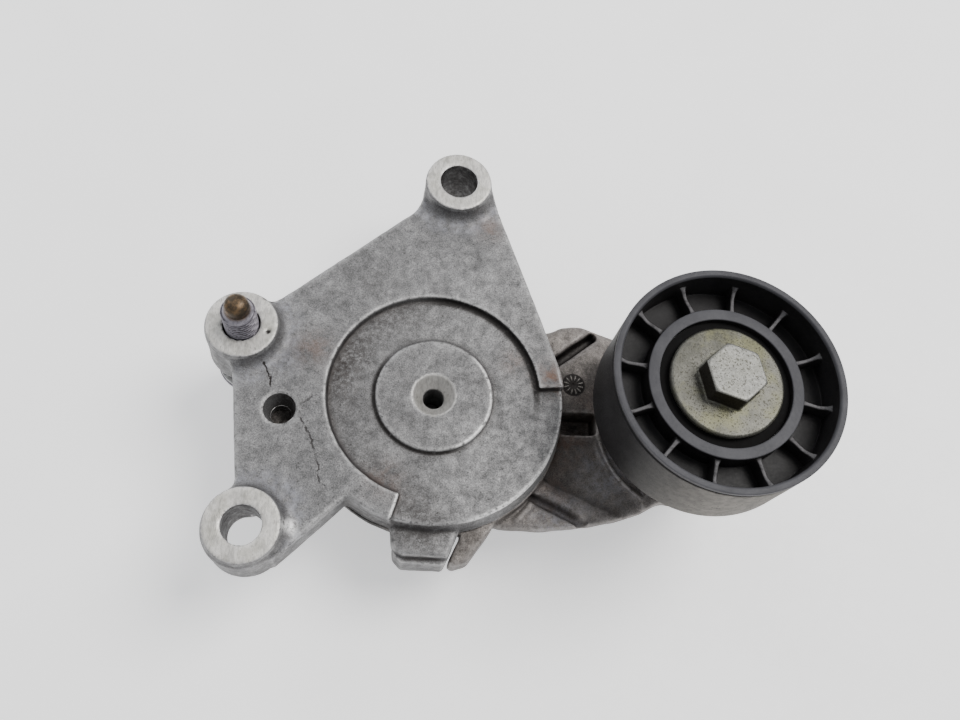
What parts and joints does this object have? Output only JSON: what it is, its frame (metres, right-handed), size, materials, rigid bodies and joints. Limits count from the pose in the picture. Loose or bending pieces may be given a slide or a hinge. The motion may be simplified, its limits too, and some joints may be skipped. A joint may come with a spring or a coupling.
{
  "type": "belt tensioner idler",
  "caption": "Cast three-boss bracket with a spring-loaded arm that carries a smooth plastic belt idler pulley, and a captive mounting bolt in one boss.",
  "frame": {"origin": "on the arm's pivot axis, in the joint plane between the bracket and the arm", "axes": "+Z along the pivot axis towards the engine block, +X from the pivot towards the pulley, +Y towards the top mounting boss"},
  "size_m": [0.1786, 0.135, 0.0795],
  "materials": {
    "bracket_casting": "die cast, grey and grimy, engine faces machined",
    "arm_casting": "die cast, dark oily film",
    "pivot_steel": "zinc plated steel",
    "spring_steel": "hardened wire",
    "bush_plastic": "bearing plastic",
    "damper_plastic": "friction plastic",
    "seal_rubber": "black rubber",
    "pulley_plastic": "black moulded plastic, belt track dusty",
    "bearing_steel": "ground bearing steel",
    "shield_steel": "pressed sheet steel",
    "pulley_bolt_zinc": "dull zinc plating with a faint yellow tint",
    "mounting_bolt_zinc": "dull zinc plating, rusty pilot tip",
    "washer_zinc": "dull zinc plating"
  },
  "bodies": {
    "bracket": {"base_bracket": "bracket_casting", "pivot_end_plate": "pivot_steel", "pivot_end_screw": "pivot_steel", "thrust_washer": "bush_plastic", "torsion_spring": "spring_steel", "dust_seal": "seal_rubber"},
    "arm": {"tension_arm": "arm_casting", "pivot_bush": "bush_plastic", "spring_damper_sleeve": "damper_plastic", "pulley_rear_shield": "shield_steel", "bearing_inner_ring": "bearing_steel", "pulley_bolt": "pulley_bolt_zinc"},
    "pulley": {"pulley": "pulley_plastic", "bearing_outer_ring": "bearing_steel", "bearing_front_seal": "seal_rubber", "bearing_rear_seal": "seal_rubber"},
    "bearing_cage": {"bearing_cage": "shield_steel", "bearing_balls": "bearing_steel"},
    "bolt_washer": {"mounting_bolt_washer": "washer_zinc", "bolt_retaining_ring": "bush_plastic"},
    "mounting_bolt": {"mounting_bolt": "mounting_bolt_zinc"}
  },
  "joints": [
    {"name": "arm_swing", "type": "hinge", "parent": "bracket", "child": "arm", "pos_m": [0, 0, -0.015], "axis": [0, 0, 1], "range_deg": [0, 40], "stiffness_Nm_per_rad": 20, "springref_deg": -1.72},
    {"name": "pulley_spin", "type": "hinge", "parent": "arm", "child": "pulley", "pos_m": [0.078, -0.0039, 0.0305], "axis": [0, 0, 1], "continuous": true},
    {"name": "cage_spin", "type": "hinge", "parent": "arm", "child": "bearing_cage", "pos_m": [0.078, -0.0039, 0.0305], "axis": [0, 0, 1], "continuous": true},
    {"name": "mounting_bolt_slide", "type": "slide", "parent": "bracket", "child": "bolt_washer", "axis": [0, 0, 1], "range_m": [0, 0.0095]},
    {"name": "mounting_bolt_turn", "type": "hinge", "parent": "bolt_washer", "child": "mounting_bolt", "pos_m": [-0.0568, 0.0173, 0], "axis": [0, 0, 1], "continuous": true}
  ],
  "couplings": [
    {"joint": "cage_spin", "follows": "pulley_spin", "ratio": 0.6182}
  ]
}
